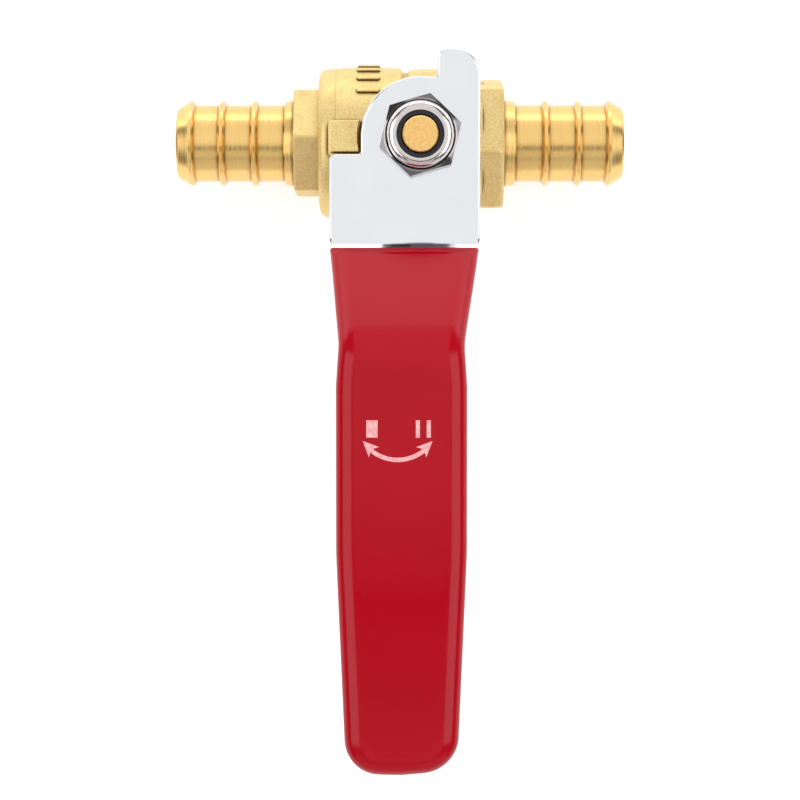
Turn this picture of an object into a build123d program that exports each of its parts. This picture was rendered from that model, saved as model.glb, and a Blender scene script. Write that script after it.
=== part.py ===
from build123d import *

import math
import os

# Quarter-turn brass ball valve with a barbed spigot at each end and a bent steel lever with a dipped grip.
# Millimetres. The origin is the centre of the ball. +X runs along the pipe towards the outlet spigot, which
# is one piece with the body. +Z runs up the stem. The valve is shut, with the lever pointing along -Y; it
# opens by turning the lever 90 degrees counter-clockwise, seen from above, until it points along +X.

# Pipe line, along X
INLET_FACE = -34.9
OUTLET_FACE = 29.0
WATERWAY_R = 4.45
BARREL_START = -14.5
MACHINED_BAND_END = -12.0
BARREL_END = -2.9
CHAMBER_START = -1.5
CHAMBER_END = 6.2
BODY_HEX_START = 8.3
BODY_HEX_END = 11.9
CAP_HEX_START = -18.1
BODY_HEX_AF = 17.4
BODY_HEX_CLOCK = 100.0
BODY_HEX_ROUNDS = (0.9, 0.7)
CAP_HEX_AF = 14.5
CAP_HEX_CLOCK = 86.0
CAP_HEX_ROUNDS = (0.5, 0.4)
MOUTH_CHAMFER = 0.25

# Barrel's turned outline: radii, and widths along X
BARREL_R = 10.9
BAND_START_R = 10.6
BAND_R = 10.7
BAND_EDGE_ROUND = 1.3
BAND_STEP = 0.08
CROWN_END_R = 10.75
GROOVE_R = 10.1
GROOVE_FLANK = 0.45
GROOVE_ROUND = 0.2
CHAMBER_START_R = 10.55
CHAMBER_R = 10.65
CHAMBER_CREST_X = 2.2
CHAMBER_END_R = 10.4
NECK_START_R = 9.3
NECK_R = 9.0
NECK_LENGTH = 0.5

# Barbed spigots for 1/2 inch PEX; distances run from the spigot's end face
BARB_TIP_R = 4.95
BARB_TIP_CHAMFER = (0.25, 0.2)
BARB_LAND_R = 5.475
BARB_CREST_R = 6.05
BARB_BEAD_AT = 2.0
BARB_RIBS_AT = (6.45, 11.1)
BARB_CREST_WIDTH = 0.56
BARB_CREST_ROUND = 0.08
BARB_FLANK = 0.28
BARB_COLLAR_AT = 15.3
BARB_COLLAR_STEP = 0.25
BARB_COLLAR_LENGTH = 2.2
BARB_COLLAR_START_R = 6.0
BARB_COLLAR_R = 6.3

# Ball, seats and chamber
BALL_R = 7.5
SEAT_CLEARANCE = 0.05
SEAT_R = 8.15
SEAT_FRONT = 5.2
SEAT_BACK = 8.2
SEAT_BORE_R = 4.7
SEAT_CHAMFER = 0.3
CHAMBER_BORE_R = 8.2
CHAMBER_BORE_END = -7.5
SLOT_WIDTH = 3.0
SLOT_FLOOR = 5.4
TANG_PLAY = 0.05
TANG_LENGTH = 7.8

# Threads: outside radius and pitch; the inside thread stands clear of the outside one
CAP_THREAD_R = 9.0
CAP_PITCH = 1.0
GLAND_THREAD_R = 6.0
GLAND_PITCH = 0.75
STEM_THREAD_R = 3.0
STEM_PITCH = 1.0
THREAD_DEPTH = 0.55
THREAD_PLAY = 0.06
CAP_THREAD_COUNT = 5
GLAND_THREAD_COUNT = 2
STEM_THREAD_COUNT = 4
THREAD_RELIEF = 0.2

# Socket's plain lead-in for the end cap: extra radius, depth, and where its cone ends
LEAD_IN_PLAY = 0.25
LEAD_IN_DEPTH = 0.35
LEAD_IN_END = 1.1
CAP_SEATING = 0.5

# Stem and packing, along Z
FLANGE_BOTTOM = 7.6
FLANGE_TOP = 8.37
WASHER_BOTTOM = 8.4
WASHER_TOP = 8.9
O_RING_AT = 10.0
O_RING_CORD_R = 0.47
O_RING_GROOVE_WIDTH = 1.2
O_RING_GROOVE_DEPTH = 0.92
O_RING_STAND = 0.03
PACKING_BOTTOM = 11.1
PACKING_RING_HEIGHT = 0.9
GLAND_NOSE = PACKING_BOTTOM + 2 * PACKING_RING_HEIGHT
BOSS_FOOT = 5.0
BOSS_FLARE_BOTTOM = 8.0
BOSS_FLARE_TOP = 11.5
BOSS_TOP = 15.2
GLAND_TOP = 17.0
PLATE_BOTTOM = 17.3
PLATE_THICKNESS = 2.0
PLATE_TOP = PLATE_BOTTOM + PLATE_THICKNESS
STEM_END = 25.5
FLANGE_R = 5.0
STEM_R = 4.0
STEM_PLAY = 0.06
STEM_FLAT_HALF = 3.05
STEM_FLAT_PLAY = 0.04
STEM_CHAMFER = 0.15
FLANGE_CHAMFER = 0.2
FLANGE_PLAY = 0.2
PACKING_R = 5.5
PACKING_PLAY = 0.05
BOSS_R = 7.4
BOSS_FLARE_R = 8.4
GLAND_HEX_AF = 12.0
GLAND_NOSE_CHAMFER = 0.2

# Turned-off corners of hexagon nuts
HEX_FACE_SHARE = 0.96
HEX_CHAMFER_ANGLE = 30.0

# Stop lug, cast on the barrel beside the stem
LUG_OUTER_X = -12.6
LUG_LENGTH = 6.0
LUG_HEIGHT = 11.0
LUG_INNER_R = 8.7
LUG_HALF_WIDTH = 2.2
LUG_TOP = 19.0
LUG_DRAFT = 2.5
LUG_CORNER_R = 0.5
LUG_TOP_ROUND = 0.3

# Raised tally bars cast on the barrel; angles turn about +X from straight up
TALLY_X = -7.4
TALLY_LENGTH = 3.2
TALLY_WIDTH = 0.8
TALLY_HEIGHT = 0.4
TALLY_ROUND = 0.2
TALLY_ANGLES = (-82.0, -68.0, -54.0, -40.0, 48.0, 62.0, 76.0)

# Lever, in its own frame: X from the stem towards the grip, Y to the left, seen from above
HUB_R = 8.2
LEVER_LEFT = 8.2
LEVER_RIGHT = -12.5
STEP_EDGE_X = 2.4
STEP_ROUNDS = (0.4, 1.0)
EAR_TIP_X = -12.0
EAR_EDGE_Y = 2.4
EAR_ROUNDS = (3.5, 1.3)
EAR_ROOT_ROUND = 0.9
PLATE_RIM_ROUND = 0.3
FIRST_BEND_X = 14.5
SECOND_BEND_X = 29.2
THIRD_BEND_X = 62.0
LEVER_RISE = 11.9
LEVER_DROP = 1.6
LEVER_DROP_X = 88.2
LEVER_REACH_UP = 60.0
LEVER_REACH_ACROSS = 30.0
LEVER_BENDS = ((3.2, 1), (6.0, -1), (70.0, -1))
GRIP_START = 15.2
GRIP_END = 86.2
GRIP_CENTRE_START = -2.2
GRIP_CENTRE = -2.5
GRIP_WALL = 1.05
GRIP_EDGE_R = 1.2

# Grip's plan: distance from the stem, half width, centre and corner radius
GRIP_MOUTH_HALF = 10.25
GRIP_STATIONS = (
    (28.2, 8.4, GRIP_CENTRE, 9.0),
    (33.8, 8.75, GRIP_CENTRE, 12.0),
    (56.0, 8.75, GRIP_CENTRE, 60.0),
    (GRIP_END - 0.4, 7.5, GRIP_CENTRE, 5.0),
    (GRIP_END, 0.0, GRIP_CENTRE, 14.0),
)

# Lock nut, M6 with a nylon ring
NUT_AF = 10.0
NUT_HEX_TOP = 23.5
NUT_TOP = 25.3
NUT_COLLAR_R = 4.55
NUT_COLLAR_ROUND = 1.0
NUT_MOUTH_R = 3.25
NUT_COUNTERSINK = 0.3
NUT_CLOCK = 16.4
INSERT_BOTTOM = 23.5
INSERT_TOP = 24.85
INSERT_R = 4.0
INSERT_ROUND = 0.3
INSERT_PLAY = 0.03

# Size of the tools that cut: they reach past the solid by this much
OVERSHOOT = 0.5

# An edge shorter than this in one direction counts as level or square
EDGE_TOLERANCE = 0.01


def face_of(*curves):
    """Flat face inside a closed chain of curves."""
    edges = []
    for curve in curves:
        edges.extend(curve.edges())
    return make_face(edges)


def polygon(points):
    return make_face(Polyline(*points, close=True))


def turned_about_x(points):
    """Solid turned about X from (x, radius) points."""
    return revolve(polygon(points), Axis.X)


def turned_about_z(points):
    """Solid turned about Z from (radius, z) points."""
    return revolve(Plane.XZ * polygon(points), Axis.Z)


def ring_about_z(inner_r, outer_r, bottom, top):
    return turned_about_z([(inner_r, bottom), (outer_r, bottom), (outer_r, top), (inner_r, top)])


def thread_root(outer_r, pitch):
    return outer_r - THREAD_DEPTH * pitch


def thread_ridges(start, count, outer_r, pitch, play=0.0):
    """Points (along, radius) of a thread's ridges, from a place on its axis."""
    root_r = thread_root(outer_r, pitch) + play
    points = []
    for turn in range(count):
        at = start + turn * pitch
        points.append((at, root_r))
        points.append((at + pitch / 2, outer_r + play))
    points.append((start + count * pitch, root_r))
    return points


def swapped(points):
    return [(radius, along) for along, radius in points]


def hexagon_bar(x_start, x_end, across_flats, clock, free_end, rounds):
    """Hexagon about X, with a corner at the clock angle from +Y towards +Z and one rounded end."""
    corner_round, end_round = rounds
    corner_r = across_flats / math.sqrt(3)
    outline = Plane.YZ.offset(x_start) * RegularPolygon(corner_r, 6, rotation=clock)
    bar = extrude(outline, x_end - x_start)
    bar = fillet(bar.edges().filter_by(Axis.X), corner_round)
    return fillet(bar.faces().sort_by(Axis.X)[free_end].edges(), end_round)


def barb_rib(at):
    """Points (along, radius) over one rib, with a short flat crest between two steep flanks."""
    half = BARB_CREST_WIDTH / 2
    shoulder_r = BARB_CREST_R - BARB_CREST_ROUND
    return [
        (at - half - BARB_FLANK, BARB_LAND_R),
        (at - half, shoulder_r),
        (at - half + BARB_CREST_ROUND, BARB_CREST_R),
        (at + half - BARB_CREST_ROUND, BARB_CREST_R),
        (at + half, shoulder_r),
        (at + half + BARB_FLANK, BARB_LAND_R),
    ]


def barb_points(face, inward):
    """Points (x, radius) along a barbed spigot, from its end face to its collar."""
    bead = barb_rib(BARB_BEAD_AT)
    tip_length, tip_rise = BARB_TIP_CHAMFER
    points = [(0.0, BARB_TIP_R), (tip_length, BARB_TIP_R + tip_rise)] + bead[1:]
    for rib_at in BARB_RIBS_AT:
        points += barb_rib(rib_at)
    points += [
        (BARB_COLLAR_AT, BARB_LAND_R),
        (BARB_COLLAR_AT + BARB_COLLAR_STEP, BARB_COLLAR_START_R),
        (BARB_COLLAR_AT + BARB_COLLAR_LENGTH, BARB_COLLAR_R),
    ]
    return [(face + inward * along, radius) for along, radius in points]


def spigot(face, inward, root_x):
    """Barbed spigot, solid, from its end face back to a plane inside the body or the cap."""
    points = barb_points(face, inward)
    return turned_about_x([(face, 0.0)] + points + [(root_x, points[-1][1]), (root_x, 0.0)])


def waterway_cut(face, inward, inner_x):
    """Round bore with a chamfered mouth."""
    mouth = WATERWAY_R + MOUTH_CHAMFER
    beyond = face - inward * OVERSHOOT
    chamfer_end = face + inward * MOUTH_CHAMFER
    points = [
        (inner_x, 0.0),
        (inner_x, WATERWAY_R),
        (chamfer_end, WATERWAY_R),
        (face, mouth),
        (beyond, mouth),
        (beyond, 0.0),
    ]
    return turned_about_x(points)


def barrel():
    """Turned outside of the body, from the cap's end to the hexagon."""
    start = FilletPolyline(
        (BARREL_START, 0.0),
        (BARREL_START, BAND_START_R),
        (MACHINED_BAND_END, BAND_R),
        radius=[BAND_EDGE_ROUND],
    )
    crown_start = (MACHINED_BAND_END + BAND_STEP, BAND_R + BAND_STEP)
    crown_middle = ((MACHINED_BAND_END + BARREL_END) / 2, BARREL_R)
    crown_end = (BARREL_END, CROWN_END_R)
    chamber_start = (CHAMBER_START, CHAMBER_START_R)
    chamber_end = (CHAMBER_END, CHAMBER_END_R)
    neck_end_x = BODY_HEX_START + NECK_LENGTH
    edge_step = Line((MACHINED_BAND_END, BAND_R), crown_start)
    crown = ThreePointArc(crown_start, crown_middle, crown_end)
    groove = FilletPolyline(
        crown_end,
        (BARREL_END + GROOVE_FLANK, GROOVE_R),
        (CHAMBER_START - GROOVE_FLANK, GROOVE_R),
        chamber_start,
        radius=[GROOVE_ROUND, GROOVE_ROUND],
    )
    bulge = ThreePointArc(chamber_start, (CHAMBER_CREST_X, CHAMBER_R), chamber_end)
    neck = Polyline(chamber_end, (BODY_HEX_START, NECK_START_R), (neck_end_x, NECK_R))
    back = Polyline(neck @ 1, (neck_end_x, 0.0), (BARREL_START, 0.0))
    return revolve(face_of(start, edge_step, crown, groove, bulge, neck, back), Axis.X)


def boss():
    """Upright boss for the stem, flared where it leaves the barrel."""
    return turned_about_z(
        [
            (0.0, BOSS_FOOT),
            (BOSS_FLARE_R, BOSS_FOOT),
            (BOSS_FLARE_R, BOSS_FLARE_BOTTOM),
            (BOSS_R, BOSS_FLARE_TOP),
            (BOSS_R, BOSS_TOP),
            (0.0, BOSS_TOP),
        ]
    )


def stop_lug():
    """Lug that the lever's ear and step meet, hollowed to clear the hub."""
    top = Rectangle(LUG_LENGTH, 2 * LUG_HALF_WIDTH)
    top = fillet(top.vertices(), LUG_CORNER_R)
    top = Pos(LUG_OUTER_X + LUG_LENGTH / 2, 0, LUG_TOP) * top
    block = extrude(top, -LUG_HEIGHT, taper=-LUG_DRAFT)
    block = fillet(block.faces().sort_by(Axis.Z)[-1].edges(), LUG_TOP_ROUND)
    return block - Pos(0, 0, LUG_TOP - LUG_HEIGHT / 2) * Cylinder(LUG_INNER_R, 2 * LUG_HEIGHT)


def cap_socket():
    """Threaded socket for the end cap, with a plain lead-in."""
    start = BARREL_START - CAP_PITCH
    count = round((CHAMBER_BORE_END - start) / CAP_PITCH)
    ridges = thread_ridges(start, count, CAP_THREAD_R, CAP_PITCH, THREAD_PLAY)
    lead_in_r = CAP_THREAD_R + LEAD_IN_PLAY
    lead_in = turned_about_x(
        [
            (start, 0.0),
            (start, lead_in_r),
            (BARREL_START + LEAD_IN_DEPTH, lead_in_r),
            (BARREL_START + LEAD_IN_END, thread_root(CAP_THREAD_R, CAP_PITCH)),
            (BARREL_START + LEAD_IN_END, 0.0),
        ]
    )
    return lead_in + turned_about_x([(start, 0.0)] + ridges + [(CHAMBER_BORE_END, 0.0)])


def ball_chamber():
    """Room for the ball and its seats, open to the cap's socket."""
    start = CHAMBER_BORE_END - OVERSHOOT
    return turned_about_x(
        [(start, 0.0), (start, CHAMBER_BORE_R), (SEAT_BACK, CHAMBER_BORE_R), (SEAT_BACK, 0.0)]
    )


def stem_bore():
    """Stepped bore through the boss: flange pocket, stem bearing, packing box and gland thread."""
    pocket_r = FLANGE_R + FLANGE_PLAY
    bearing_r = STEM_R + STEM_PLAY
    thread_start = GLAND_NOSE + THREAD_RELIEF - GLAND_PITCH
    count = GLAND_THREAD_COUNT + 3
    ridges = thread_ridges(thread_start, count, GLAND_THREAD_R, GLAND_PITCH, THREAD_PLAY)
    return turned_about_z(
        [
            (0.0, BOSS_FOOT),
            (pocket_r, BOSS_FOOT),
            (pocket_r, WASHER_TOP),
            (bearing_r, WASHER_TOP),
            (bearing_r, PACKING_BOTTOM),
            (PACKING_R, PACKING_BOTTOM),
            (PACKING_R, thread_start - THREAD_RELIEF / 2),
        ]
        + swapped(ridges)
        + [(0.0, ridges[-1][0])]
    )


def cast_tally():
    """Raised bars cast on the barrel's shoulders, beside the lug."""
    bar = Box(TALLY_LENGTH, TALLY_WIDTH, 4 * TALLY_HEIGHT)
    bar = fillet(bar.edges(), TALLY_ROUND)
    centre_r = BARREL_R - TALLY_HEIGHT
    bars = []
    for angle in TALLY_ANGLES:
        bars.append(Rot(angle, 0, 0) * Pos(TALLY_X, 0, centre_r) * bar)
    return bars


def valve_body():
    """Forged body: barrel, hexagon, outlet spigot, stem boss, stop lug and tally bars."""
    hexagon = hexagon_bar(
        BODY_HEX_START, BODY_HEX_END, BODY_HEX_AF, BODY_HEX_CLOCK, -1, BODY_HEX_ROUNDS
    )
    outside = barrel() + hexagon + spigot(OUTLET_FACE, -1, BODY_HEX_START) + boss() + stop_lug()
    for bar in cast_tally():
        outside += bar
    waterway = waterway_cut(OUTLET_FACE, -1, SEAT_BACK - OVERSHOOT)
    return outside - cap_socket() - ball_chamber() - stem_bore() - waterway


def end_cap():
    """Screwed retainer with the inlet spigot and its own hexagon."""
    disc_face = BARREL_START + CAP_SEATING
    hexagon = hexagon_bar(CAP_HEX_START, disc_face, CAP_HEX_AF, CAP_HEX_CLOCK, 0, CAP_HEX_ROUNDS)
    root_r = thread_root(CAP_THREAD_R, CAP_PITCH)
    ridges = thread_ridges(BARREL_START + CAP_PITCH, CAP_THREAD_COUNT, CAP_THREAD_R, CAP_PITCH)
    screw = turned_about_x(
        [(disc_face, 0.0), (disc_face, root_r)] + ridges + [(-SEAT_BACK, root_r), (-SEAT_BACK, 0.0)]
    )
    outside = spigot(INLET_FACE, 1, CAP_HEX_START + OVERSHOOT) + hexagon + screw
    return outside - waterway_cut(INLET_FACE, 1, -SEAT_BACK + OVERSHOOT)


def seat_ring(direction):
    """PTFE ring with a hollow that follows the ball."""
    hollow_r = BALL_R + SEAT_CLEARANCE

    def on_hollow(x):
        return (direction * x, math.sqrt(hollow_r**2 - x**2))

    front = on_hollow(SEAT_FRONT)
    throat_x = math.sqrt(hollow_r**2 - SEAT_BORE_R**2)
    throat = on_hollow(throat_x)
    outside = Polyline(
        front,
        (direction * SEAT_FRONT, SEAT_R - SEAT_CHAMFER),
        (direction * (SEAT_FRONT + SEAT_CHAMFER), SEAT_R),
        (direction * SEAT_BACK, SEAT_R),
        (direction * SEAT_BACK, SEAT_BORE_R),
        throat,
    )
    hollow = ThreePointArc(throat, on_hollow((SEAT_FRONT + throat_x) / 2), front)
    return revolve(face_of(outside, hollow), Axis.X)


def ball():
    """Bored ball; at rest the bore lies across the pipe, and the slot for the stem lies along it."""
    bore = Rot(90, 0, 0) * Cylinder(WATERWAY_R, 3 * BALL_R)
    slot_height = 2 * BALL_R
    slot = Pos(0, 0, SLOT_FLOOR + slot_height / 2) * Box(3 * BALL_R, SLOT_WIDTH, slot_height)
    return Sphere(BALL_R) - bore - slot


def stem():
    """Stem with its tang, flange, groove, two flats and threaded end."""
    groove_low = O_RING_AT - O_RING_GROOVE_WIDTH / 2
    groove_high = O_RING_AT + O_RING_GROOVE_WIDTH / 2
    groove_r = STEM_R - O_RING_GROOVE_DEPTH
    flat_top = PLATE_TOP - THREAD_RELIEF / 2
    thread_start = PLATE_TOP + THREAD_RELIEF
    tip_r = thread_root(STEM_THREAD_R, STEM_PITCH)
    ridges = thread_ridges(thread_start, STEM_THREAD_COUNT, STEM_THREAD_R, STEM_PITCH)
    shaft = turned_about_z(
        [
            (0.0, FLANGE_BOTTOM),
            (FLANGE_R - FLANGE_CHAMFER, FLANGE_BOTTOM),
            (FLANGE_R, FLANGE_BOTTOM + FLANGE_CHAMFER),
            (FLANGE_R, FLANGE_TOP),
            (STEM_R, FLANGE_TOP),
            (STEM_R, groove_low),
            (groove_r, groove_low),
            (groove_r, groove_high),
            (STEM_R, groove_high),
            (STEM_R, flat_top),
            (tip_r, flat_top),
        ]
        + swapped(ridges)
        + [(tip_r, STEM_END - STEM_CHAMFER), (tip_r - STEM_CHAMFER, STEM_END), (0.0, STEM_END)]
    )
    flat_height = flat_top - PLATE_BOTTOM
    for side in (-1, 1):
        offset = side * (STEM_FLAT_HALF + STEM_R / 2)
        shaft -= Pos(offset, 0, PLATE_BOTTOM + flat_height / 2) * Box(STEM_R, 3 * STEM_R, flat_height)
    tang_width = SLOT_WIDTH - 2 * TANG_PLAY
    tang_bottom = SLOT_FLOOR + 2 * TANG_PLAY
    tang_height = FLANGE_BOTTOM + OVERSHOOT - tang_bottom
    tang = Pos(0, 0, tang_bottom + tang_height / 2) * Box(TANG_LENGTH, tang_width, tang_height)
    return shaft + tang


def stem_thrust_washer():
    outer_r = FLANGE_R + FLANGE_PLAY / 2
    return ring_about_z(STEM_R + STEM_PLAY, outer_r, WASHER_BOTTOM, WASHER_TOP)


def stem_o_ring():
    cord_centre = STEM_R - O_RING_CORD_R + O_RING_STAND
    return Pos(0, 0, O_RING_AT) * Torus(cord_centre, O_RING_CORD_R)


def packing_ring(index):
    bottom = PACKING_BOTTOM + index * PACKING_RING_HEIGHT
    outer_r = PACKING_R - PACKING_PLAY
    return ring_about_z(STEM_R + STEM_PLAY, outer_r, bottom, bottom + PACKING_RING_HEIGHT)


def hexagon_blank(across_flats, bottom, top, chamfer_bottom, clock):
    """Upright hexagon with its corners turned off at the top, and at the bottom if asked."""
    corner_r = across_flats / math.sqrt(3)
    prism = extrude(Pos(0, 0, bottom) * RegularPolygon(corner_r, 6, rotation=clock), top - bottom)
    face_r = across_flats / 2 * HEX_FACE_SHARE
    outer_r = corner_r + OVERSHOOT
    drop = (outer_r - face_r) * math.tan(math.radians(HEX_CHAMFER_ANGLE))
    turned = [(0.0, top), (face_r, top), (outer_r, top - drop)]
    if chamfer_bottom:
        turned += [(outer_r, bottom + drop), (face_r, bottom), (0.0, bottom)]
    else:
        turned += [(outer_r, bottom), (0.0, bottom)]
    return prism & turned_about_z(turned)


def packing_gland_nut():
    """Nut with a screwed nose that squeezes the packing rings."""
    root_r = thread_root(GLAND_THREAD_R, GLAND_PITCH)
    thread_start = GLAND_NOSE + THREAD_RELIEF
    screw_top = BOSS_TOP + OVERSHOOT
    ridges = thread_ridges(thread_start, GLAND_THREAD_COUNT, GLAND_THREAD_R, GLAND_PITCH)
    screw = turned_about_z(
        [(0.0, GLAND_NOSE), (root_r - GLAND_NOSE_CHAMFER, GLAND_NOSE)]
        + swapped(ridges)
        + [(root_r, screw_top), (0.0, screw_top)]
    )
    head = hexagon_blank(GLAND_HEX_AF, BOSS_TOP, GLAND_TOP, False, 0.0)
    bore_r = STEM_R + STEM_PLAY
    bore = ring_about_z(0.0, bore_r, GLAND_NOSE - OVERSHOOT, GLAND_TOP + OVERSHOOT)
    return head + screw - bore


def offset_points(points, distance):
    """Corners of a polyline moved sideways by a distance, positive to its left."""
    directions = []
    for first, second in zip(points, points[1:]):
        run = Vector(second) - Vector(first)
        directions.append(run.normalized())
    moved = []
    for index, point in enumerate(points):
        before = directions[max(index - 1, 0)]
        after = directions[min(index, len(directions) - 1)]
        normal = Vector(-before.Y - after.Y, before.X + after.X).normalized()
        stretch = 1 / (normal.X * -before.Y + normal.Y * before.X)
        moved.append(Vector(point) + normal * distance * stretch)
    return moved


def bent_strip(half_thickness):
    """Strip of even thickness that follows the lever's three bends, wider than the lever."""
    middle = PLATE_BOTTOM + PLATE_THICKNESS / 2
    line = [
        (EAR_TIP_X - OVERSHOOT, middle),
        (FIRST_BEND_X, middle),
        (SECOND_BEND_X, middle + LEVER_RISE),
        (THIRD_BEND_X, middle + LEVER_RISE),
        (LEVER_DROP_X, middle + LEVER_RISE - LEVER_DROP),
    ]
    upper_radii = [radius - turn * half_thickness for radius, turn in LEVER_BENDS]
    lower_radii = [radius + turn * half_thickness for radius, turn in LEVER_BENDS]
    upper = FilletPolyline(*offset_points(line, half_thickness), radius=upper_radii)
    lower = FilletPolyline(*offset_points(line, -half_thickness), radius=lower_radii)
    profile = face_of(upper, Line(upper @ 1, lower @ 1), lower, Line(lower @ 0, upper @ 0))
    return extrude(Plane.XZ * profile, LEVER_REACH_ACROSS, both=True)


def grip_outline(inset, start_x):
    """Plan of the grip: wide at its mouth, waisted, then tapering to a rounded end."""
    stations = [(start_x, GRIP_MOUTH_HALF, GRIP_CENTRE_START, 0.0), *GRIP_STATIONS]
    left = [(x, centre + half) for x, half, centre, _ in stations]
    right = [(x, centre - half) for x, half, centre, _ in stations[:-1]]
    points = left + right[::-1]
    radii = [row[3] for row in stations]
    corner_radii = radii[1:] + radii[1:-1][::-1]
    outline = FilletPolyline(*points, radius=corner_radii)
    face = face_of(outline, Line(outline @ 1, outline @ 0))
    if inset:
        face = offset(face, -inset)
    return face


def lever_in_place(solid):
    """Turns a solid from the lever's own frame to its place in the shut valve."""
    return Rot(0, 0, -90) * solid


def lever_hub_outline():
    """Plan of the lever's bare end: stop ear, hub and stop step, as far as the first bend."""
    notch_x = -math.sqrt(HUB_R**2 - EAR_EDGE_Y**2)
    start = FilletPolyline(
        (GRIP_START, LEVER_LEFT),
        (EAR_TIP_X, LEVER_LEFT),
        (EAR_TIP_X, EAR_EDGE_Y),
        (notch_x, EAR_EDGE_Y),
        radius=EAR_ROUNDS,
    )
    diagonal = -HUB_R * math.sqrt(0.5)
    hub = ThreePointArc((notch_x, EAR_EDGE_Y), (diagonal, diagonal), (0.0, -HUB_R))
    end = FilletPolyline(
        (0.0, -HUB_R),
        (STEP_EDGE_X, -HUB_R),
        (STEP_EDGE_X, LEVER_RIGHT),
        (GRIP_START, LEVER_RIGHT),
        radius=STEP_ROUNDS,
    )
    outline = face_of(start, hub, end, Line(end @ 1, start @ 0))
    notch = outline.vertices().sort_by_distance((notch_x, EAR_EDGE_Y, 0))[0]
    return fillet(notch, EAR_ROOT_ROUND)


def level_rims(plate):
    """Edges round the lever's flat bare end, on both of its faces."""
    rims = []
    for edge in plate.edges():
        box = edge.bounding_box()
        level = box.size.Z < EDGE_TOLERANCE
        bend_line = box.size.Y > 2 * HUB_R
        if level and not bend_line and box.max.X < FIRST_BEND_X:
            rims.append(edge)
    return rims


def lever_plate():
    """Steel lever: one pressed strip with its hub, two bends and the core of the grip."""
    hub = extrude(lever_hub_outline(), LEVER_REACH_UP)
    core = extrude(grip_outline(GRIP_WALL, GRIP_START - 2 * GRIP_WALL), LEVER_REACH_UP)
    plate = (hub + core) & bent_strip(PLATE_THICKNESS / 2)
    plate = fillet(level_rims(plate), PLATE_RIM_ROUND)
    hole = Circle(STEM_R + STEM_PLAY) & Rectangle(3 * STEM_R, 2 * (STEM_FLAT_HALF + STEM_FLAT_PLAY))
    plate -= extrude(hole, LEVER_REACH_UP)
    return lever_in_place(plate)


def lever_grip_sleeve():
    """Dipped vinyl coat, rounded all along its edges, around the lever's core."""
    outside = extrude(grip_outline(0.0, GRIP_START), LEVER_REACH_UP)
    blank = outside & bent_strip(PLATE_THICKNESS / 2 + GRIP_WALL)
    rims = []
    for edge in blank.edges():
        if edge.bounding_box().size.X > EDGE_TOLERANCE:
            rims.append(edge)
    blank = fillet(rims, GRIP_EDGE_R)
    return lever_in_place(blank) - lever_plate()


def lever_nut():
    """Hexagon lock nut with a rolled collar over its nylon ring."""
    hexagon = hexagon_blank(NUT_AF, PLATE_TOP, NUT_HEX_TOP, True, NUT_CLOCK)
    collar_foot = NUT_HEX_TOP - OVERSHOOT
    profile = FilletPolyline(
        (0.0, collar_foot),
        (NUT_COLLAR_R, collar_foot),
        (NUT_COLLAR_R, NUT_TOP),
        (0.0, NUT_TOP),
        radius=[0.0, NUT_COLLAR_ROUND],
    )
    collar = revolve(Plane.XZ * face_of(profile, Line(profile @ 1, profile @ 0)), Axis.Z)
    thread_start = PLATE_TOP + THREAD_RELIEF
    ridges = thread_ridges(thread_start, STEM_THREAD_COUNT, STEM_THREAD_R, STEM_PITCH, THREAD_PLAY)
    countersink_r = STEM_THREAD_R + NUT_COUNTERSINK
    below = PLATE_TOP - OVERSHOOT
    bore = turned_about_z(
        [(0.0, below), (countersink_r, below), (countersink_r, PLATE_TOP)]
        + swapped(ridges)
        + [
            (INSERT_R, INSERT_BOTTOM),
            (INSERT_R, INSERT_TOP),
            (NUT_MOUTH_R, INSERT_TOP),
            (NUT_MOUTH_R, NUT_TOP + OVERSHOOT),
            (0.0, NUT_TOP + OVERSHOOT),
        ]
    )
    return hexagon + collar - bore


def nut_nylon_insert():
    """Nylon ring inside the nut's collar, rounded at its mouth."""
    inner_r = thread_root(STEM_THREAD_R, STEM_PITCH) + INSERT_PLAY
    ring = ring_about_z(inner_r, INSERT_R - INSERT_PLAY, INSERT_BOTTOM, INSERT_TOP)
    top_edges = ring.edges().sort_by(Axis.Z)[-2:]
    return fillet(top_edges.sort_by(SortBy.RADIUS)[:1], INSERT_ROUND)


def write(name, solid):
    export_step(solid, os.path.join("parts", name + ".step"))


def main():
    os.makedirs("parts", exist_ok=True)
    write("valve_body", valve_body())
    write("end_cap", end_cap())
    write("seat_ring_inlet", seat_ring(-1))
    write("seat_ring_outlet", seat_ring(1))
    write("ball", ball())
    write("stem", stem())
    write("stem_thrust_washer", stem_thrust_washer())
    write("stem_o_ring", stem_o_ring())
    write("packing_ring_lower", packing_ring(0))
    write("packing_ring_upper", packing_ring(1))
    write("packing_gland_nut", packing_gland_nut())
    write("lever_plate", lever_plate())
    write("lever_grip_sleeve", lever_grip_sleeve())
    write("lever_nut", lever_nut())
    write("nut_nylon_insert", nut_nylon_insert())


main()
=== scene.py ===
import math

import bpy
import numpy as np
from mathutils import Matrix, Vector


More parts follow.
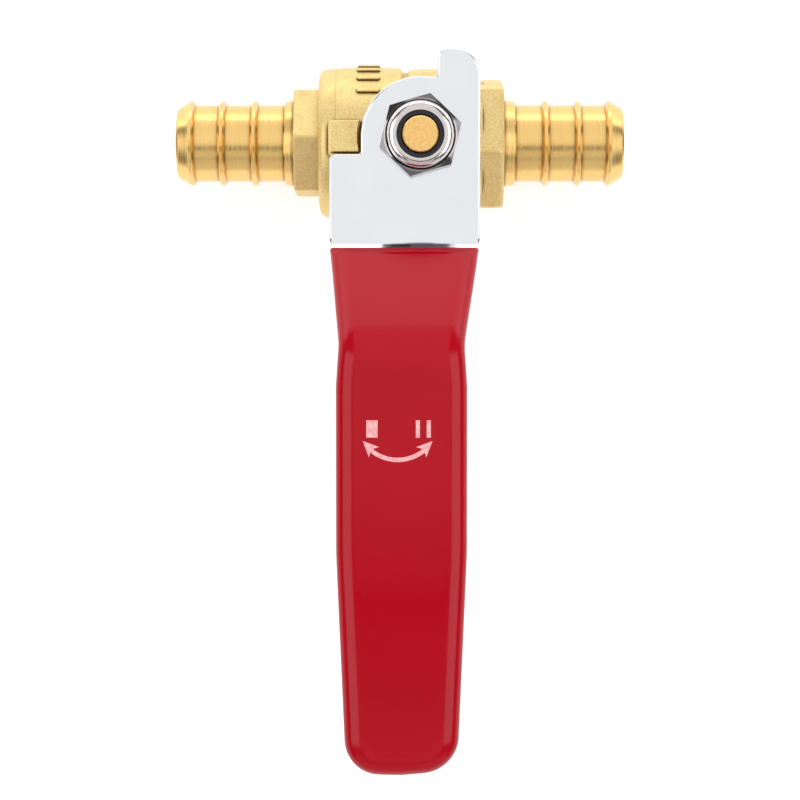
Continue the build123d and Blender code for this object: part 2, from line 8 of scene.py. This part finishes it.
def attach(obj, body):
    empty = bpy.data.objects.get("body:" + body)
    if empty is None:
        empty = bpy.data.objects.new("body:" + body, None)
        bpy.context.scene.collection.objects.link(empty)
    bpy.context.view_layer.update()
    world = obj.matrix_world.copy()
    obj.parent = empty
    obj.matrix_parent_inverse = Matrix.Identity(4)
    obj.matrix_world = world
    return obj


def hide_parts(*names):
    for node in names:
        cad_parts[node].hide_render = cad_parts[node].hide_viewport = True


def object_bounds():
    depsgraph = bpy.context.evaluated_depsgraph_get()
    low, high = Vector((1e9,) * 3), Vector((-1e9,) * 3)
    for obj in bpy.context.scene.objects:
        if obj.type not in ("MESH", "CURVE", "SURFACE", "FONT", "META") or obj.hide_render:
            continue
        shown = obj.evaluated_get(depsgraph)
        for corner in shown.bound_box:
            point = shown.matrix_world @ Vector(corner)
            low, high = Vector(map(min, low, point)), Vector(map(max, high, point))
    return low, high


# Brass lever ball valve. Blender works in metres. The sizes of the valve's pieces and of its surface
# textures are in millimetres here, and MM converts them.
MM = 0.001

# Mid-line of the lever in its own frame: distance from the stem towards the grip's end, and height
LEVER_LINE = ((-13.0, 18.3), (14.5, 18.3), (29.2, 30.2), (62.0, 30.2), (88.2, 28.6))
LEVER_BEND_RADII = (3.2, 6.0, 70.0)
LEVER_LINE_STEP = 0.4

# Half of the grip's plan, from its mouth to its tip: distance from the stem, half width, corner radius
GRIP_PLAN = (
    (15.2, 10.25, 0.0),
    (28.2, 8.4, 9.0),
    (33.8, 8.75, 12.0),
    (56.0, 8.75, 60.0),
    (85.8, 7.5, 5.0),
    (86.2, 0.0, 0.0),
)
GRIP_PLAN_STEP = 0.7
GRIP_CENTRE = -2.5
GRIP_MOUTH_SHIFT = 0.3
GRIP_MOUTH_SHIFT_END = 30.0
GRIP_HALF_THICKNESS = 2.05
GRIP_EDGE = 2.8
GRIP_EDGE_RINGS = 9
GRIP_COLUMNS = 14
GRIP_CROWN = 0.1
GRIP_CROWN_HALF = 8.6
GRIP_WALL = 1.05
GRIP_END_SLANT = 0.035
GRIP_END_SLANT_SPAN = (76.0, 86.0)
THINNEST_EDGE = 0.1

# Mouth of the sleeve, and the hollow that holds the steel core
MOUTH_LIP = 0.4
MOUTH_LIP_STEPS = 6
CORE_EDGE = 0.12
CORE_SIDE_PLAY = 0.02
CORE_TOP_PLAY = 0.01
WELD_DISTANCE = 0.002

# Printed sign: a curved double arrow, then the marks for open and shut at its two ends
SIGN_LIFT = 0.03
SIGN_Y = -3.0
ARC_RADIUS = 5.5
ARC_FRONT_X = 43.4
ARC_WIDTH = 0.58
ARC_LINE_ANGLE = 40.0
ARC_HALF_STEPS = 12
ARROW_TIP_ANGLE = 57.0
ARROW_SLOPE = 0.7
ARROW_LENGTH = 2.1
ARROW_WIDTH = 1.9
ARROW_NOTCH_SHARE = 0.75
MARK_X = 39.3
MARK_Y_OFFSET = 3.4
MARK_LENGTH = 2.3
OPEN_BAR_OFFSET = 0.72
OPEN_BAR_WIDTH = 0.55
SHUT_BLOCK_WIDTH = 1.5

# Where the forged skin of each brass piece starts and ends along the pipe, and how fast it fades
BODY_CAST_SPAN = (-15.0, 11.95)
CAP_CAST_SPAN = (-18.15, -14.0)
CAST_FADE = 0.12

# Heights on the lock nut: foot and top of its hexagon's sides, over which their painted shade fades,
# and foot of its collar
NUT_SIDE_FOOT = 20.0
NUT_SIDE_TOP = 23.2
NUT_COLLAR_FOOT = 23.3
NUT_COLLAR_CLEAR = 23.6

# Floor and room, in metres
FLOOR_SIZE = 4.0
FLOOR_GLOW = 0.6
WORLD_STRENGTH = 0.18

# Softboxes, in metres: name, first and last angle from straight up, distance, width and radiance.
# Positive angles lie beyond the pipe, and for the side pair outwards along the pipe.
PANELS = (
    ("overhead", -7.0, 72.0, 0.6, 0.5, 0.63),
    ("beyond", 74.0, 98.0, 0.55, 1.7, 1.55),
    ("near", -45.0, -20.0, 0.6, 0.4, 0.47),
    ("front", -92.0, -50.0, 0.8, 1.4, 0.42),
)
SIDE_PANEL = ("side", 24.0, 64.0, 0.6, 0.6, 1.6)
POWER_PER_RADIANCE_AND_AREA = 4.0

# Camera, in metres: height over the pipe, shift along Y, and half of the picture over half of the valve
CAMERA_HEIGHT = 0.36
CAMERA_Y = -0.019
PICTURE_MARGIN = 1.182
SENSOR_WIDTH = 36.0
CLIP_START = 0.01


# ---------------------------------------------------------------- curves and meshes


def rounded_line(points, radii, step):
    """Points along a line whose inner corners are arcs of the given radii, about a step apart."""
    points = [np.array(point, float) for point in points]
    rounded = [points[0]]
    for before, corner, after, radius in zip(points, points[1:], points[2:], radii):
        back = (before - corner) / np.linalg.norm(before - corner)
        ahead = (after - corner) / np.linalg.norm(after - corner)
        half_angle = math.acos(float(back @ ahead)) / 2
        reach = radius / math.tan(half_angle)
        bisector = (back + ahead) / np.linalg.norm(back + ahead)
        centre = corner + bisector * radius / math.sin(half_angle)
        start = corner + back * reach - centre
        end = corner + ahead * reach - centre
        turn = math.pi - 2 * half_angle
        count = max(4, math.ceil(turn * radius / step))
        for index in range(count + 1):
            share = index / count
            mix = math.sin((1 - share) * turn) * start + math.sin(share * turn) * end
            rounded.append(centre + mix / math.sin(turn))
    rounded.append(points[-1])
    return spaced(np.array(rounded), step)


def spaced(line, step):
    """The same line with extra points so that no two neighbours are more than a step apart."""
    result = [line[0]]
    for first, second in zip(line, line[1:]):
        count = max(1, math.ceil(np.linalg.norm(second - first) / step))
        for index in range(1, count + 1):
            result.append(first + (second - first) * index / count)
    return np.array(result)


def smooth_step(value, low, high):
    share = np.clip((value - low) / (high - low), 0.0, 1.0)
    return share * share * (3 - 2 * share)


def mesh_piece(name, vertices, faces, smooth=True):
    """New mesh object from points in millimetres."""
    mesh = bpy.data.meshes.new(name)
    mesh.from_pydata([tuple(np.array(vertex) * MM) for vertex in vertices], [], faces)
    mesh.validate()
    mesh.update()
    for polygon in mesh.polygons:
        polygon.use_smooth = smooth
    piece = bpy.data.objects.new(name, mesh)
    bpy.context.scene.collection.objects.link(piece)
    return piece


def add_modifier(piece, kind, **settings):
    modifier = piece.modifiers.new(kind.title(), kind)
    for key, value in settings.items():
        setattr(modifier, key, value)
    return modifier


def to_world(x, y, z):
    """From the lever's own frame, X towards the grip and Y to the left, to the shut valve's frame."""
    return (y, -x, z)


# ---------------------------------------------------------------- lever grip


class LeverLine:
    """Mid-line of the lever, and heights of curves that run at a distance above or below it."""

    def __init__(self):
        self.line = rounded_line(LEVER_LINE, LEVER_BEND_RADII, LEVER_LINE_STEP)
        run = np.gradient(self.line, axis=0)
        run /= np.linalg.norm(run, axis=1)[:, None]
        self.normal = np.stack([-run[:, 1], run[:, 0]], axis=1)

    def height(self, x, offset):
        curve = self.line + self.normal * offset
        return float(np.interp(x, curve[:, 0], curve[:, 1]))


def grip_side(inset):
    """Left half of the grip's plan as (x, half width) points with their inward directions."""
    points = [(x, half) for x, half, _ in GRIP_PLAN]
    radii = [radius for _, _, radius in GRIP_PLAN[1:-1]]
    line = rounded_line(points, radii, GRIP_PLAN_STEP)
    run = np.gradient(line, axis=0)
    run /= np.linalg.norm(run, axis=1)[:, None]
    inward = np.stack([run[:, 1], -run[:, 0]], axis=1)
    inward[-1] = (-1.0, 0.0)
    inward[0] = (0.0, -1.0)
    return line + inward * inset, inward


def grip_centre(x):
    """Where the grip's middle runs, a little to the left near its mouth."""
    mouth_x = GRIP_PLAN[0][0]
    return GRIP_CENTRE + GRIP_MOUTH_SHIFT * (1 - smooth_step(x, mouth_x, GRIP_MOUTH_SHIFT_END))


def upper_row(x, half, inward_x, inward_y, depths):
    """Points of one section's top from left to right, each with its share of the edge's rise."""
    row = []
    for ring, depth in enumerate(depths):
        rise = math.sin(math.pi / 2 * ring / GRIP_EDGE_RINGS)
        row.append((x + inward_x * depth, half + inward_y * depth, rise))
    inner_x, inner_half, _ = row[-1]
    for index in range(1, GRIP_COLUMNS):
        row.append((inner_x, inner_half * (1 - 2 * index / GRIP_COLUMNS), 1.0))
    row += [(px, -py, rise) for px, py, rise in reversed(row[: GRIP_EDGE_RINGS + 1])]
    return row


def grip_skin(lever, inset, half_thickness, edge, crown):
    """Sections around the grip, each a loop over the top and back under the bottom."""
    side, inward = grip_side(inset)
    turns = [math.pi / 2 * ring / GRIP_EDGE_RINGS for ring in range(GRIP_EDGE_RINGS + 1)]
    depths = [edge * (1 - math.cos(turn)) for turn in turns]
    flat = half_thickness - min(edge, half_thickness - THINNEST_EDGE)
    sections = []
    for (x, half), (inward_x, inward_y) in zip(side, inward):
        row = upper_row(x, half, inward_x, inward_y, depths)
        loop = []
        for direction, points in ((1, row), (-1, row[::-1])):
            for px, py, rise in points:
                share = py / GRIP_CROWN_HALF
                thickness = flat + (half_thickness - flat) * rise + crown * rise * (1 - share**2)
                slant = GRIP_END_SLANT * smooth_step(px, *GRIP_END_SLANT_SPAN)
                plan_x = px - slant * py
                height = lever.height(px, direction * thickness)
                loop.append(to_world(plan_x, grip_centre(px) + py, height))
        sections.append(loop)
    return sections


def loft(sections):
    """Quads between neighbouring loops of the same length, numbered from the first vertex."""
    size = len(sections[0])
    faces = []
    for row in range(len(sections) - 1):
        low = row * size
        for index in range(size):
            after = (index + 1) % size
            faces.append((low + index, low + after, low + size + after, low + size + index))
    return faces


def mouth_lip(outer, inner):
    """Loops that roll from the sleeve's outer skin round its mouth to its inner skin."""
    loops = []
    outer_loop = np.array(outer)
    inner_loop = np.array(inner)
    for step in range(1, MOUTH_LIP_STEPS):
        angle = math.pi * step / MOUTH_LIP_STEPS
        share = (1 - math.cos(angle)) / 2
        loop = outer_loop * (1 - share) + inner_loop * share
        loop[:, 1] += MOUTH_LIP * math.sin(angle)
        loops.append([tuple(point) for point in loop])
    return loops


def grip_sleeve(lever):
    """Dipped vinyl sleeve: outer skin with soft edges, rolled mouth and inner skin round the core."""
    outer = grip_skin(lever, 0.0, GRIP_HALF_THICKNESS, GRIP_EDGE, GRIP_CROWN)
    core_half = GRIP_HALF_THICKNESS - GRIP_WALL + CORE_TOP_PLAY
    inner = grip_skin(lever, GRIP_WALL - CORE_SIDE_PLAY, core_half, CORE_EDGE, 0.0)
    for loop in outer[:1] + inner[:1]:
        for index, (x, y, z) in enumerate(loop):
            loop[index] = (x, y - MOUTH_LIP, z)
    loops = outer[::-1] + mouth_lip(outer[0], inner[0]) + inner
    vertices = [point for loop in loops for point in loop]
    sleeve = mesh_piece("grip_sleeve", vertices, loft(loops))
    add_modifier(sleeve, "WELD", merge_threshold=WELD_DISTANCE * MM)
    return sleeve


# ---------------------------------------------------------------- printed sign on the grip


def on_grip(lever, x, y):
    """Point of the printed sign, just above the grip's top."""
    crown = GRIP_CROWN * (1 - ((y - grip_centre(x)) / GRIP_CROWN_HALF) ** 2)
    height = lever.height(x, GRIP_HALF_THICKNESS + crown + SIGN_LIFT)
    return to_world(x, y, height)


def ribbon(lever, centre_line, width):
    """Flat band of quads along a line of (x, y) points, as vertices and faces."""
    line = np.array(centre_line, float)
    run = np.gradient(line, axis=0)
    run /= np.linalg.norm(run, axis=1)[:, None]
    side = np.stack([-run[:, 1], run[:, 0]], axis=1) * width / 2
    vertices = []
    for left, right in zip(line + side, line - side):
        vertices += [on_grip(lever, *left), on_grip(lever, *right)]
    faces = []
    for index in range(len(line) - 1):
        low = 2 * index
        faces.append((low, low + 1, low + 3, low + 2))
    return vertices, faces


def arrow_head(lever, tip, direction):
    """Swept-back arrow head as four corners."""
    tip = np.array(tip, float)
    direction = np.array(direction, float) / np.linalg.norm(direction)
    side = np.array([-direction[1], direction[0]]) * ARROW_WIDTH / 2
    back = tip - direction * ARROW_LENGTH
    notch = tip - direction * ARROW_LENGTH * ARROW_NOTCH_SHARE
    corners = [tip, back + side, notch, back - side]
    return [on_grip(lever, *corner) for corner in corners], [(0, 1, 2, 3)]


def bar(lever, centre_y, width):
    """Rectangle on the grip, its length along the lever."""
    corners = []
    for along, across in ((-1, -1), (1, -1), (1, 1), (-1, 1)):
        x = MARK_X + along * MARK_LENGTH / 2
        corners.append(on_grip(lever, x, centre_y + across * width / 2))
    return corners, [(0, 1, 2, 3)]


def on_arc(angle):
    """Point of the sign's arc, at an angle in degrees from the lever's direction."""
    angle = math.radians(angle)
    centre_x = ARC_FRONT_X - ARC_RADIUS
    return (centre_x + ARC_RADIUS * math.cos(angle), SIGN_Y + ARC_RADIUS * math.sin(angle))


def printed_sign(lever):
    """Turning sign: a curved double arrow, two parallel bars for open and a block for shut."""
    steps = range(-ARC_HALF_STEPS, ARC_HALF_STEPS + 1)
    arc = [on_arc(ARC_LINE_ANGLE * step / ARC_HALF_STEPS) for step in steps]
    parts = [ribbon(lever, arc, ARC_WIDTH)]
    for way in (-1, 1):
        tip = on_arc(way * ARROW_TIP_ANGLE)
        parts.append(arrow_head(lever, tip, (-ARROW_SLOPE, ARROW_SLOPE * way)))
    for offset in (-OPEN_BAR_OFFSET, OPEN_BAR_OFFSET):
        parts.append(bar(lever, SIGN_Y + MARK_Y_OFFSET + offset, OPEN_BAR_WIDTH))
    parts.append(bar(lever, SIGN_Y - MARK_Y_OFFSET, SHUT_BLOCK_WIDTH))
    vertices = []
    faces = []
    for points, corners in parts:
        first = len(vertices)
        vertices += points
        faces += [tuple(first + corner for corner in face) for face in corners]
    return mesh_piece("grip_print", vertices, faces, smooth=False)


# ---------------------------------------------------------------- materials


class Finish:
    """A Principled material, with short ways to add nodes to it. Texture sizes are in millimetres."""

    def __init__(self, name, sockets=None):
        self.material = bpy.data.materials.new(name)
        self.material.use_nodes = True
        self.tree = self.material.node_tree
        self.shader = self.tree.nodes["Principled BSDF"]
        for socket, value in (sockets or {}).items():
            self.shader.inputs[socket].default_value = value
        coordinates = self.tree.nodes.new("ShaderNodeTexCoord").outputs["Object"]
        scaled = self.add("ShaderNodeVectorMath", {0: coordinates, 3: 1 / MM}, operation="SCALE")
        self.place = scaled.outputs[0]

    def add(self, kind, inputs=None, **settings):
        node = self.tree.nodes.new(kind)
        for key, value in settings.items():
            setattr(node, key, value)
        for key, value in (inputs or {}).items():
            if isinstance(value, bpy.types.NodeSocket):
                self.tree.links.new(value, node.inputs[key])
            else:
                node.inputs[key].default_value = value
        return node

    def stretched(self, scale):
        """Coordinates in millimetres, scaled along each axis."""
        inputs = {0: self.place, 1: scale}
        return self.add("ShaderNodeVectorMath", inputs, operation="MULTIPLY").outputs[0]

    def noise(self, size, detail=2.0, roughness=0.5, vector=None):
        """Noise with grains of about the size in millimetres."""
        inputs = {"Vector": vector or self.place, "Scale": 1 / size}
        inputs.update({"Detail": detail, "Roughness": roughness})
        return self.add("ShaderNodeTexNoise", inputs).outputs["Fac"]

    def spread(self, value, low, high, low_out, high_out):
        """Maps low..high to low_out..high_out, clamped and smooth."""
        inputs = {0: value, 1: low, 2: high, 3: low_out, 4: high_out}
        return self.add("ShaderNodeMapRange", inputs, interpolation_type="SMOOTHSTEP").outputs[0]

    def maths(self, operation, first, second):
        return self.add("ShaderNodeMath", {0: first, 1: second}, operation=operation).outputs[0]

    def axis(self, name):
        return self.add("ShaderNodeSeparateXYZ", {0: self.place}).outputs[name]

    def mix(self, share, first, second):
        """Mixes two colours."""
        node = self.tree.nodes.new("ShaderNodeMix")
        node.data_type = "RGBA"
        for index, value in ((0, share), (6, first), (7, second)):
            if isinstance(value, bpy.types.NodeSocket):
                self.tree.links.new(value, node.inputs[index])
            else:
                node.inputs[index].default_value = value
        return node.outputs[2]

    def blend(self, share, first, second):
        """Mixes two numbers."""
        inputs = {0: share, 2: first, 3: second}
        return self.add("ShaderNodeMix", inputs, data_type="FLOAT").outputs[0]

    def bump(self, height, depth, normal=None):
        """Surface relief whose full height is the depth in millimetres."""
        inputs = {"Height": height, "Distance": depth * MM, "Strength": 1.0}
        if normal:
            inputs["Normal"] = normal
        return self.add("ShaderNodeBump", inputs).outputs[0]

    def feed(self, socket, value):
        self.tree.links.new(value, self.shader.inputs[socket])


def rgb(red, green, blue):
    """Linear colour from sRGB values between 0 and 255."""
    return tuple((value / 255) ** 2.2 for value in (red, green, blue)) + (1.0,)


def between(finish, value, low, high, fade):
    """1 between low and high, fading to 0 outside."""
    rising = finish.spread(value, low - fade, low, 0.0, 1.0)
    falling = finish.spread(value, high, high + fade, 1.0, 0.0)
    return finish.maths("MULTIPLY", rising, falling)


def painted_corner_shade(finish, colour, dark, reach, closed, open_share):
    """Painted shade: darkens a colour inside corners by ambient occlusion, from fully dark where closed
    to none where open.
    """
    inputs = {"Distance": reach * MM}
    shade = finish.add("ShaderNodeAmbientOcclusion", inputs, samples=8).outputs["AO"]
    return finish.mix(finish.spread(shade, closed, open_share, 0.0, 1.0), dark, colour)


def cast_skin(finish, grain, blotches):
    """Colour of forged, shot-blasted brass: fine grain and slow stains."""
    grain_share = finish.spread(grain, 0.34, 0.62, 0.0, 1.0)
    colour = finish.mix(grain_share, rgb(222, 191, 120), rgb(244, 219, 158))
    stain_share = finish.spread(blotches, 0.52, 0.78, 0.0, 0.4)
    return finish.mix(stain_share, colour, rgb(214, 176, 110))


def turned_skin(finish, cuts):
    """Colour of turned brass: tool marks round the pipe and stains along it."""
    smear = finish.noise(3.0, vector=finish.stretched((0.35, 1.0, 1.0)))
    colour = finish.mix(cuts, rgb(240, 194, 114), rgb(253, 214, 142))
    stain_share = finish.spread(smear, 0.45, 0.8, 0.0, 0.35)
    return finish.mix(stain_share, colour, rgb(228, 184, 108))


def brass(name, cast_span):
    """Forged brass between two places along the pipe, and bright turned brass elsewhere, with painted
    shade in its corners.
    """
    finish = Finish(name, {"Metallic": 1.0})
    cast = between(finish, finish.axis("X"), *cast_span, CAST_FADE)
    turned = finish.maths("SUBTRACT", 1.0, cast)
    grain = finish.noise(0.17, 3.0, 0.62)
    blotches = finish.noise(2.2, 3.0, 0.6)
    cuts = finish.noise(0.22, 3.0, 0.7, finish.stretched((1.0, 0.02, 0.02)))

    colour = finish.mix(cast, turned_skin(finish, cuts), cast_skin(finish, grain, blotches))
    # Painted shade: the colour turns dark brown inside corners, such as beside the barb ribs and
    # between the parts.
    dark = rgb(96, 72, 28)
    finish.feed("Base Color", painted_corner_shade(finish, colour, dark, reach=0.8, closed=0.55, open_share=0.97))

    cast_roughness = finish.spread(blotches, 0.3, 0.7, 0.44, 0.54)
    turned_roughness = finish.spread(cuts, 0.3, 0.7, 0.22, 0.32)
    finish.feed("Roughness", finish.blend(cast, turned_roughness, cast_roughness))

    normal = finish.bump(finish.maths("MULTIPLY", grain, cast), 0.035)
    rings = finish.maths("MULTIPLY", cuts, turned)
    finish.feed("Normal", finish.bump(rings, 0.004, normal))
    return finish.material


def stem_brass():
    """Faced stem end with fine turning marks and small specks."""
    finish = Finish("stem_brass", {"Metallic": 1.0})
    specks = finish.noise(0.35, 3.0, 0.6)
    speck_share = finish.spread(specks, 0.35, 0.65, 0.0, 1.0)
    finish.feed("Base Color", finish.mix(speck_share, rgb(240, 192, 116), rgb(252, 208, 134)))
    finish.feed("Roughness", finish.spread(specks, 0.3, 0.7, 0.3, 0.4))
    finish.feed("Normal", finish.bump(specks, 0.006))
    return finish.material


def zinc_plate():
    """Bright, faintly blue zinc plate with fine rolling lines along the lever."""
    finish = Finish("zinc_steel", {"Metallic": 1.0})
    lines = finish.noise(0.12, 2.0, 0.6, finish.stretched((1.0, 0.04, 1.0)))
    clouds = finish.noise(5.0, 3.0)
    finish.feed("Base Color", finish.mix(clouds, rgb(228, 231, 234), rgb(238, 241, 243)))
    finish.feed("Roughness", finish.spread(clouds, 0.35, 0.65, 0.09, 0.13))
    finish.feed("Normal", finish.bump(lines, 0.0006))
    return finish.material


def polished_nickel():
    """Polished nut with faint handling marks; painted shade makes its hexagon's sides dark, darkest at
    their foot, and darkens its corners.
    """
    finish = Finish("nut_steel", {"Metallic": 1.0})
    marks = finish.noise(0.9, 4.0, 0.65)
    collar = finish.mix(marks, rgb(196, 190, 188), rgb(232, 225, 222))
    # Painted shade: the hexagon's sides are much darker than the collar and darken further towards
    # their foot.
    height = finish.axis("Z")
    side_share = finish.spread(height, NUT_SIDE_FOOT, NUT_SIDE_TOP, 0.0, 1.0)
    shaded_sides = finish.mix(side_share, rgb(74, 73, 75), rgb(124, 122, 123))
    collar_share = finish.spread(height, NUT_COLLAR_FOOT, NUT_COLLAR_CLEAR, 0.0, 1.0)
    colour = finish.mix(collar_share, shaded_sides, collar)
    # Painted shade: the nut's chamfers and corners darken to near black by ambient occlusion.
    dark = rgb(16, 16, 18)
    finish.feed("Base Color", painted_corner_shade(finish, colour, dark, reach=2.5, closed=0.62, open_share=0.99))
    finish.feed("Roughness", finish.spread(marks, 0.4, 0.7, 0.09, 0.22))
    finish.feed("Normal", finish.bump(marks, 0.01))
    return finish.material


def chrome():
    """Polished ball with a faint haze."""
    finish = Finish("chrome_plate", {"Metallic": 1.0})
    haze = finish.noise(2.5, 3.0)
    finish.feed("Base Color", finish.mix(haze, rgb(214, 217, 222), rgb(232, 234, 238)))
    finish.feed("Roughness", finish.spread(haze, 0.4, 0.8, 0.04, 0.12))
    return finish.material


def red_vinyl():
    """Dipped vinyl: glossy, with a fine grain and slow changes of depth."""
    finish = Finish("red_vinyl", {"Specular IOR Level": 0.23})
    peel = finish.noise(0.5)
    depth = finish.noise(14.0, 1.0)
    finish.feed("Base Color", finish.mix(depth, rgb(170, 6, 27), rgb(182, 9, 35)))
    finish.feed("Roughness", finish.spread(peel, 0.3, 0.7, 0.15, 0.19))
    finish.feed("Normal", finish.bump(peel, 0.002))
    return finish.material


def soft_plastic(name, shades, roughness, grain_size):
    """Moulded plastic or rubber with a fine skin, given by its darkest and lightest shade."""
    finish = Finish(name)
    skin = finish.noise(grain_size, 3.0, 0.55)
    finish.feed("Base Color", finish.mix(skin, *shades))
    finish.feed("Roughness", finish.spread(skin, 0.3, 0.7, *roughness))
    finish.feed("Normal", finish.bump(skin, 0.01))
    return finish.material


def print_ink():
    """Thin pinkish-white ink over the red vinyl, with slightly uneven cover."""
    finish = Finish("print_ink", {"Roughness": 0.4})
    cover = finish.spread(finish.noise(0.35, 3.0, 0.6), 0.3, 0.7, 0.0, 1.0)
    finish.feed("Base Color", finish.mix(cover, rgb(240, 150, 156), rgb(255, 196, 198)))
    return finish.material


def paint(piece, material):
    piece.data.materials.clear()
    piece.data.materials.append(material)


def paint_nodes(nodes):
    """Gives every CAD node its material."""
    white_shades = (rgb(228, 228, 222), rgb(244, 244, 240))
    rubber_shades = (rgb(18, 18, 18), rgb(34, 34, 34))
    nylon_shades = (rgb(12, 14, 22), rgb(24, 30, 44))
    cap_brass = brass("turned_brass", CAP_CAST_SPAN)
    ptfe = soft_plastic("ptfe", white_shades, (0.4, 0.55), 0.8)
    materials = {
        "valve_body": brass("cast_brass", BODY_CAST_SPAN),
        "end_cap": cap_brass,
        "packing_gland_nut": cap_brass,
        "seat_ring_inlet": ptfe,
        "seat_ring_outlet": ptfe,
        "packing_ring_lower": ptfe,
        "packing_ring_upper": ptfe,
        "stem_thrust_washer": ptfe,
        "stem_o_ring": soft_plastic("black_rubber", rubber_shades, (0.5, 0.7), 0.4),
        "ball": chrome(),
        "stem": stem_brass(),
        "lever_plate": zinc_plate(),
        "lever_nut": polished_nickel(),
        "nut_nylon_insert": soft_plastic("black_nylon", nylon_shades, (0.25, 0.4), 0.5),
    }
    for name, material in materials.items():
        paint(nodes[name], material)


# ---------------------------------------------------------------- stage, light and camera


def floor(height):
    """Wide pale floor that glows a little, so that it stays white under the dim studio."""
    bpy.ops.mesh.primitive_plane_add(size=FLOOR_SIZE, location=(0, 0, height))
    plane = bpy.context.object
    plane.name = "floor"
    white = (1.0, 1.0, 1.0, 1.0)
    glow = {"Roughness": 0.7, "Emission Color": white, "Emission Strength": FLOOR_GLOW}
    finish = Finish("floor", glow)
    finish.feed("Base Color", finish.mix(finish.noise(60.0), rgb(200, 200, 200), rgb(206, 206, 206)))
    paint(plane, finish.material)


def softbox(name, place, size, radiance, target):
    """Rectangular light that faces a target, given by how bright its surface looks."""
    light = bpy.data.lights.new(name, "AREA")
    light.shape = "RECTANGLE"
    light.size, light.size_y = size
    light.energy = radiance * POWER_PER_RADIANCE_AND_AREA * size[0] * size[1]
    holder = bpy.data.objects.new(name, light)
    holder.location = place
    holder.rotation_euler = (Vector(target) - Vector(place)).to_track_quat("-Z", "Y").to_euler()
    holder.visible_camera = False
    bpy.context.scene.collection.objects.link(holder)


def panel(centre, outwards, name, first_angle, last_angle, distance, width, radiance):
    """Softbox that spans two angles from straight up towards a level direction, seen from the valve."""
    middle = math.radians((first_angle + last_angle) / 2)
    half_span = math.radians(last_angle - first_angle) / 2
    up = Vector((0.0, 0.0, 1.0))
    place = centre + distance * (math.sin(middle) * Vector(outwards) + math.cos(middle) * up)
    softbox(name, place, (width, 2 * distance * math.tan(half_span)), radiance, centre)


def studio(centre):
    """Dim white room with large softboxes; the strongest stands low beyond the pipe."""
    world = bpy.data.worlds.new("studio")
    world.use_nodes = True
    background = world.node_tree.nodes["Background"]
    background.inputs["Color"].default_value = (1.0, 1.0, 1.0, 1.0)
    background.inputs["Strength"].default_value = WORLD_STRENGTH
    bpy.context.scene.world = world
    for row in PANELS:
        panel(centre, (0.0, 1.0, 0.0), *row)
    for side in (-1.0, 1.0):
        panel(centre, (side, 0.0, 0.0), *SIDE_PANEL)


def camera(centre, half_height):
    """Looks down near the stem, with the pipe across the picture and the lever down it."""
    place = Vector((0.0, CAMERA_Y, CAMERA_HEIGHT))
    data = bpy.data.cameras.new("camera")
    data.sensor_width = SENSOR_WIDTH
    data.lens = SENSOR_WIDTH / 2 * CAMERA_HEIGHT / (half_height * PICTURE_MARGIN)
    data.clip_start = CLIP_START
    holder = bpy.data.objects.new("camera", data)
    holder.location = place
    back = (place - Vector((centre.x, centre.y, 0.0))).normalized()
    right = Vector((0.0, 1.0, 0.0)).cross(back).normalized()
    holder.rotation_euler = Matrix((right, back.cross(right), back)).transposed().to_euler()
    bpy.context.scene.collection.objects.link(holder)
    bpy.context.scene.camera = holder


# ---------------------------------------------------------------- the scene


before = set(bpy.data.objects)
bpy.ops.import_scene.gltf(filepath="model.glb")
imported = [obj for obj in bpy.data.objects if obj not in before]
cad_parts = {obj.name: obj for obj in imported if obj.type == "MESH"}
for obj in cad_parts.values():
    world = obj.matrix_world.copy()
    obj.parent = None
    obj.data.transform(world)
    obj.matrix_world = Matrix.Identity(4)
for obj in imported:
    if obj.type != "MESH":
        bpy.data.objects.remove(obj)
cad_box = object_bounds()
low, high = cad_box
middle = (low + high) / 2

lever_line = LeverLine()
sleeve_piece = grip_sleeve(lever_line)
paint(sleeve_piece, red_vinyl())
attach(sleeve_piece, "handle")
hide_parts("lever_grip_sleeve")

sign = printed_sign(lever_line)
paint(sign, print_ink())
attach(sign, "handle")

paint_nodes(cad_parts)
floor(low.z)
studio(middle)
camera(middle, (high.y - low.y) / 2)
bpy.context.scene.view_settings.view_transform = "Standard"
